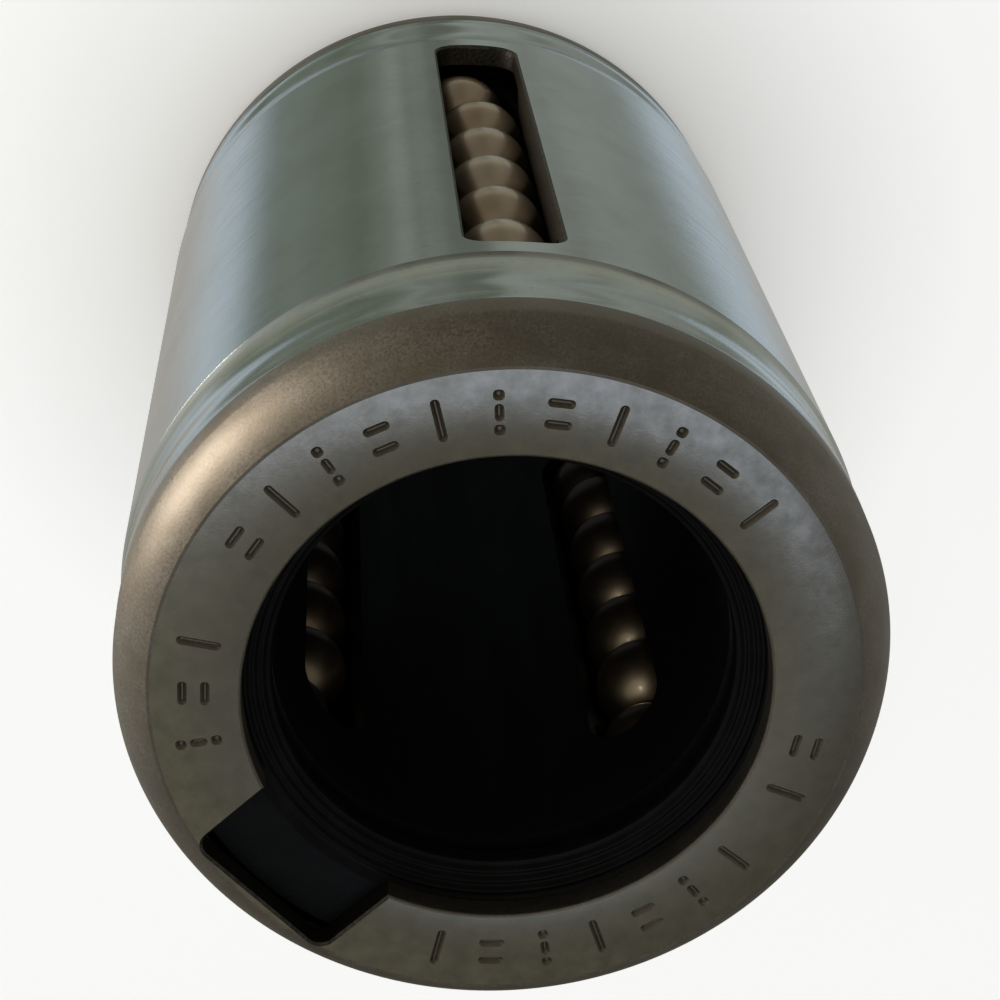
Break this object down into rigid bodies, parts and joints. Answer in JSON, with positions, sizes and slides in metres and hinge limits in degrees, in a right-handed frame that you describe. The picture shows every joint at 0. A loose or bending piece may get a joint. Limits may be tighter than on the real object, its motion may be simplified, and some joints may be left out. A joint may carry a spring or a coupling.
{
  "type": "linear ball bushing",
  "caption": "Round steel linear ball bushing with windows over its recirculating ball loops, a notched front lip, a moulded cage and wiper seals.",
  "frame": {"origin": "centre of the rear end face, on the bore axis", "axes": "+Z along the bore axis, from the rear end face to the notched front end face; +X through the middle of the first loop's window"},
  "size_m": [0.017, 0.017, 0.026],
  "materials": {
    "steel_cup": "ground",
    "cage_polyamide": "moulded",
    "seal_rubber": "moulded",
    "ball_steel": "polished"
  },
  "bodies": {
    "housing": {"outer_ring": "steel_cup", "cage": "cage_polyamide", "front_seal": "seal_rubber", "rear_seal": "seal_rubber"},
    "loop_1_loaded_row": {"loaded_row_1": "ball_steel"},
    "loop_1_return_row": {"return_row_1": "ball_steel"},
    "loop_1_front_ball_1": {"front_turn_ball_1_1": "ball_steel"},
    "loop_1_front_ball_2": {"front_turn_ball_1_2": "ball_steel"},
    "loop_1_front_ball_3": {"front_turn_ball_1_3": "ball_steel"},
    "loop_1_rear_ball_1": {"rear_turn_ball_1_1": "ball_steel"},
    "loop_1_rear_ball_2": {"rear_turn_ball_1_2": "ball_steel"},
    "loop_1_rear_ball_3": {"rear_turn_ball_1_3": "ball_steel"},
    "loop_2_loaded_row": {"loaded_row_2": "ball_steel"},
    "loop_2_return_row": {"return_row_2": "ball_steel"},
    "loop_2_front_ball_1": {"front_turn_ball_2_1": "ball_steel"},
    "loop_2_front_ball_2": {"front_turn_ball_2_2": "ball_steel"},
    "loop_2_front_ball_3": {"front_turn_ball_2_3": "ball_steel"},
    "loop_2_rear_ball_1": {"rear_turn_ball_2_1": "ball_steel"},
    "loop_2_rear_ball_2": {"rear_turn_ball_2_2": "ball_steel"},
    "loop_2_rear_ball_3": {"rear_turn_ball_2_3": "ball_steel"},
    "loop_3_loaded_row": {"loaded_row_3": "ball_steel"},
    "loop_3_return_row": {"return_row_3": "ball_steel"},
    "loop_3_front_ball_1": {"front_turn_ball_3_1": "ball_steel"},
    "loop_3_front_ball_2": {"front_turn_ball_3_2": "ball_steel"},
    "loop_3_front_ball_3": {"front_turn_ball_3_3": "ball_steel"},
    "loop_3_rear_ball_1": {"rear_turn_ball_3_1": "ball_steel"},
    "loop_3_rear_ball_2": {"rear_turn_ball_3_2": "ball_steel"},
    "loop_3_rear_ball_3": {"rear_turn_ball_3_3": "ball_steel"},
    "loop_4_loaded_row": {"loaded_row_4": "ball_steel"},
    "loop_4_return_row": {"return_row_4": "ball_steel"},
    "loop_4_front_ball_1": {"front_turn_ball_4_1": "ball_steel"},
    "loop_4_front_ball_2": {"front_turn_ball_4_2": "ball_steel"},
    "loop_4_front_ball_3": {"front_turn_ball_4_3": "ball_steel"},
    "loop_4_rear_ball_1": {"rear_turn_ball_4_1": "ball_steel"},
    "loop_4_rear_ball_2": {"rear_turn_ball_4_2": "ball_steel"},
    "loop_4_rear_ball_3": {"rear_turn_ball_4_3": "ball_steel"}
  },
  "joints": [
    {"name": "loop_1_loaded_slide", "type": "slide", "parent": "housing", "child": "loop_1_loaded_row", "axis": [0, 0, 1], "range_m": [-0.00121, 0.00121]},
    {"name": "loop_1_return_slide", "type": "slide", "parent": "housing", "child": "loop_1_return_row", "axis": [0, 0, 1], "range_m": [-0.00121, 0.00121]},
    {"name": "loop_1_front_turn_1", "type": "hinge", "parent": "housing", "child": "loop_1_front_ball_1", "pos_m": [0.00576, 0.0023, 0.01921], "axis": [0.8236, 0.5173, -0.2324], "range_deg": [-31.77, 31.77]},
    {"name": "loop_1_front_turn_2", "type": "hinge", "parent": "housing", "child": "loop_1_front_ball_2", "pos_m": [0.00528, 0.00208, 0.01935], "axis": [0.8446, 0.3553, -0.4004], "range_deg": [-31.9, 31.9]},
    {"name": "loop_1_front_turn_3", "type": "hinge", "parent": "housing", "child": "loop_1_front_ball_3", "pos_m": [0.00625, 0.00238, 0.01907], "axis": [0.9874, 0.1542, -0.0357], "range_deg": [-30.56, 30.56]},
    {"name": "loop_1_rear_turn_1", "type": "hinge", "parent": "housing", "child": "loop_1_rear_ball_1", "pos_m": [0.00576, 0.0023, 0.00679], "axis": [0.8236, 0.5173, 0.2324], "range_deg": [-31.77, 31.77]},
    {"name": "loop_1_rear_turn_2", "type": "hinge", "parent": "housing", "child": "loop_1_rear_ball_2", "pos_m": [0.00528, 0.00208, 0.00665], "axis": [0.8446, 0.3553, 0.4004], "range_deg": [-31.9, 31.9]},
    {"name": "loop_1_rear_turn_3", "type": "hinge", "parent": "housing", "child": "loop_1_rear_ball_3", "pos_m": [0.00625, 0.00238, 0.00693], "axis": [0.9874, 0.1542, 0.0357], "range_deg": [-30.56, 30.56]},
    {"name": "loop_2_loaded_slide", "type": "slide", "parent": "housing", "child": "loop_2_loaded_row", "axis": [0, 0, 1], "range_m": [-0.00121, 0.00121]},
    {"name": "loop_2_return_slide", "type": "slide", "parent": "housing", "child": "loop_2_return_row", "axis": [0, 0, 1], "range_m": [-0.00121, 0.00121]},
    {"name": "loop_2_front_turn_1", "type": "hinge", "parent": "housing", "child": "loop_2_front_ball_1", "pos_m": [-0.0023, 0.00576, 0.01921], "axis": [-0.5173, 0.8236, -0.2324], "range_deg": [-31.77, 31.77]},
    {"name": "loop_2_front_turn_2", "type": "hinge", "parent": "housing", "child": "loop_2_front_ball_2", "pos_m": [-0.00208, 0.00528, 0.01935], "axis": [-0.3553, 0.8446, -0.4004], "range_deg": [-31.9, 31.9]},
    {"name": "loop_2_front_turn_3", "type": "hinge", "parent": "housing", "child": "loop_2_front_ball_3", "pos_m": [-0.00238, 0.00625, 0.01907], "axis": [-0.1542, 0.9874, -0.0357], "range_deg": [-30.56, 30.56]},
    {"name": "loop_2_rear_turn_1", "type": "hinge", "parent": "housing", "child": "loop_2_rear_ball_1", "pos_m": [-0.0023, 0.00576, 0.00679], "axis": [-0.5173, 0.8236, 0.2324], "range_deg": [-31.77, 31.77]},
    {"name": "loop_2_rear_turn_2", "type": "hinge", "parent": "housing", "child": "loop_2_rear_ball_2", "pos_m": [-0.00208, 0.00528, 0.00665], "axis": [-0.3553, 0.8446, 0.4004], "range_deg": [-31.9, 31.9]},
    {"name": "loop_2_rear_turn_3", "type": "hinge", "parent": "housing", "child": "loop_2_rear_ball_3", "pos_m": [-0.00238, 0.00625, 0.00693], "axis": [-0.1542, 0.9874, 0.0357], "range_deg": [-30.56, 30.56]},
    {"name": "loop_3_loaded_slide", "type": "slide", "parent": "housing", "child": "loop_3_loaded_row", "axis": [0, 0, 1], "range_m": [-0.00121, 0.00121]},
    {"name": "loop_3_return_slide", "type": "slide", "parent": "housing", "child": "loop_3_return_row", "axis": [0, 0, 1], "range_m": [-0.00121, 0.00121]},
    {"name": "loop_3_front_turn_1", "type": "hinge", "parent": "housing", "child": "loop_3_front_ball_1", "pos_m": [-0.00576, -0.0023, 0.01921], "axis": [-0.8236, -0.5173, -0.2324], "range_deg": [-31.77, 31.77]},
    {"name": "loop_3_front_turn_2", "type": "hinge", "parent": "housing", "child": "loop_3_front_ball_2", "pos_m": [-0.00528, -0.00208, 0.01935], "axis": [-0.8446, -0.3553, -0.4004], "range_deg": [-31.9, 31.9]},
    {"name": "loop_3_front_turn_3", "type": "hinge", "parent": "housing", "child": "loop_3_front_ball_3", "pos_m": [-0.00625, -0.00238, 0.01907], "axis": [-0.9874, -0.1542, -0.0357], "range_deg": [-30.56, 30.56]},
    {"name": "loop_3_rear_turn_1", "type": "hinge", "parent": "housing", "child": "loop_3_rear_ball_1", "pos_m": [-0.00576, -0.0023, 0.00679], "axis": [-0.8236, -0.5173, 0.2324], "range_deg": [-31.77, 31.77]},
    {"name": "loop_3_rear_turn_2", "type": "hinge", "parent": "housing", "child": "loop_3_rear_ball_2", "pos_m": [-0.00528, -0.00208, 0.00665], "axis": [-0.8446, -0.3553, 0.4004], "range_deg": [-31.9, 31.9]},
    {"name": "loop_3_rear_turn_3", "type": "hinge", "parent": "housing", "child": "loop_3_rear_ball_3", "pos_m": [-0.00625, -0.00238, 0.00693], "axis": [-0.9874, -0.1542, 0.0357], "range_deg": [-30.56, 30.56]},
    {"name": "loop_4_loaded_slide", "type": "slide", "parent": "housing", "child": "loop_4_loaded_row", "axis": [0, 0, 1], "range_m": [-0.00121, 0.00121]},
    {"name": "loop_4_return_slide", "type": "slide", "parent": "housing", "child": "loop_4_return_row", "axis": [0, 0, 1], "range_m": [-0.00121, 0.00121]},
    {"name": "loop_4_front_turn_1", "type": "hinge", "parent": "housing", "child": "loop_4_front_ball_1", "pos_m": [0.0023, -0.00576, 0.01921], "axis": [0.5173, -0.8236, -0.2324], "range_deg": [-31.77, 31.77]},
    {"name": "loop_4_front_turn_2", "type": "hinge", "parent": "housing", "child": "loop_4_front_ball_2", "pos_m": [0.00208, -0.00528, 0.01935], "axis": [0.3553, -0.8446, -0.4004], "range_deg": [-31.9, 31.9]},
    {"name": "loop_4_front_turn_3", "type": "hinge", "parent": "housing", "child": "loop_4_front_ball_3", "pos_m": [0.00238, -0.00625, 0.01907], "axis": [0.1542, -0.9874, -0.0357], "range_deg": [-30.56, 30.56]},
    {"name": "loop_4_rear_turn_1", "type": "hinge", "parent": "housing", "child": "loop_4_rear_ball_1", "pos_m": [0.0023, -0.00576, 0.00679], "axis": [0.5173, -0.8236, 0.2324], "range_deg": [-31.77, 31.77]},
    {"name": "loop_4_rear_turn_2", "type": "hinge", "parent": "housing", "child": "loop_4_rear_ball_2", "pos_m": [0.00208, -0.00528, 0.00665], "axis": [0.3553, -0.8446, 0.4004], "range_deg": [-31.9, 31.9]},
    {"name": "loop_4_rear_turn_3", "type": "hinge", "parent": "housing", "child": "loop_4_rear_ball_3", "pos_m": [0.00238, -0.00625, 0.00693], "axis": [0.1542, -0.9874, 0.0357], "range_deg": [-30.56, 30.56]}
  ],
  "couplings": [
    {"joint": "loop_1_return_slide", "follows": "loop_1_loaded_slide", "ratio": -1},
    {"joint": "loop_1_front_turn_1", "follows": "loop_1_loaded_slide", "rad_per_m": 456.12},
    {"joint": "loop_1_front_turn_2", "follows": "loop_1_loaded_slide", "rad_per_m": 457.94},
    {"joint": "loop_1_front_turn_3", "follows": "loop_1_loaded_slide", "rad_per_m": 438.73},
    {"joint": "loop_1_rear_turn_1", "follows": "loop_1_loaded_slide", "rad_per_m": 456.12},
    {"joint": "loop_1_rear_turn_2", "follows": "loop_1_loaded_slide", "rad_per_m": 457.94},
    {"joint": "loop_1_rear_turn_3", "follows": "loop_1_loaded_slide", "rad_per_m": 438.73},
    {"joint": "loop_2_return_slide", "follows": "loop_2_loaded_slide", "ratio": -1},
    {"joint": "loop_2_front_turn_1", "follows": "loop_2_loaded_slide", "rad_per_m": 456.12},
    {"joint": "loop_2_front_turn_2", "follows": "loop_2_loaded_slide", "rad_per_m": 457.94},
    {"joint": "loop_2_front_turn_3", "follows": "loop_2_loaded_slide", "rad_per_m": 438.73},
    {"joint": "loop_2_rear_turn_1", "follows": "loop_2_loaded_slide", "rad_per_m": 456.12},
    {"joint": "loop_2_rear_turn_2", "follows": "loop_2_loaded_slide", "rad_per_m": 457.94},
    {"joint": "loop_2_rear_turn_3", "follows": "loop_2_loaded_slide", "rad_per_m": 438.73},
    {"joint": "loop_3_return_slide", "follows": "loop_3_loaded_slide", "ratio": -1},
    {"joint": "loop_3_front_turn_1", "follows": "loop_3_loaded_slide", "rad_per_m": 456.12},
    {"joint": "loop_3_front_turn_2", "follows": "loop_3_loaded_slide", "rad_per_m": 457.94},
    {"joint": "loop_3_front_turn_3", "follows": "loop_3_loaded_slide", "rad_per_m": 438.73},
    {"joint": "loop_3_rear_turn_1", "follows": "loop_3_loaded_slide", "rad_per_m": 456.12},
    {"joint": "loop_3_rear_turn_2", "follows": "loop_3_loaded_slide", "rad_per_m": 457.94},
    {"joint": "loop_3_rear_turn_3", "follows": "loop_3_loaded_slide", "rad_per_m": 438.73},
    {"joint": "loop_4_return_slide", "follows": "loop_4_loaded_slide", "ratio": -1},
    {"joint": "loop_4_front_turn_1", "follows": "loop_4_loaded_slide", "rad_per_m": 456.12},
    {"joint": "loop_4_front_turn_2", "follows": "loop_4_loaded_slide", "rad_per_m": 457.94},
    {"joint": "loop_4_front_turn_3", "follows": "loop_4_loaded_slide", "rad_per_m": 438.73},
    {"joint": "loop_4_rear_turn_1", "follows": "loop_4_loaded_slide", "rad_per_m": 456.12},
    {"joint": "loop_4_rear_turn_2", "follows": "loop_4_loaded_slide", "rad_per_m": 457.94},
    {"joint": "loop_4_rear_turn_3", "follows": "loop_4_loaded_slide", "rad_per_m": 438.73}
  ]
}
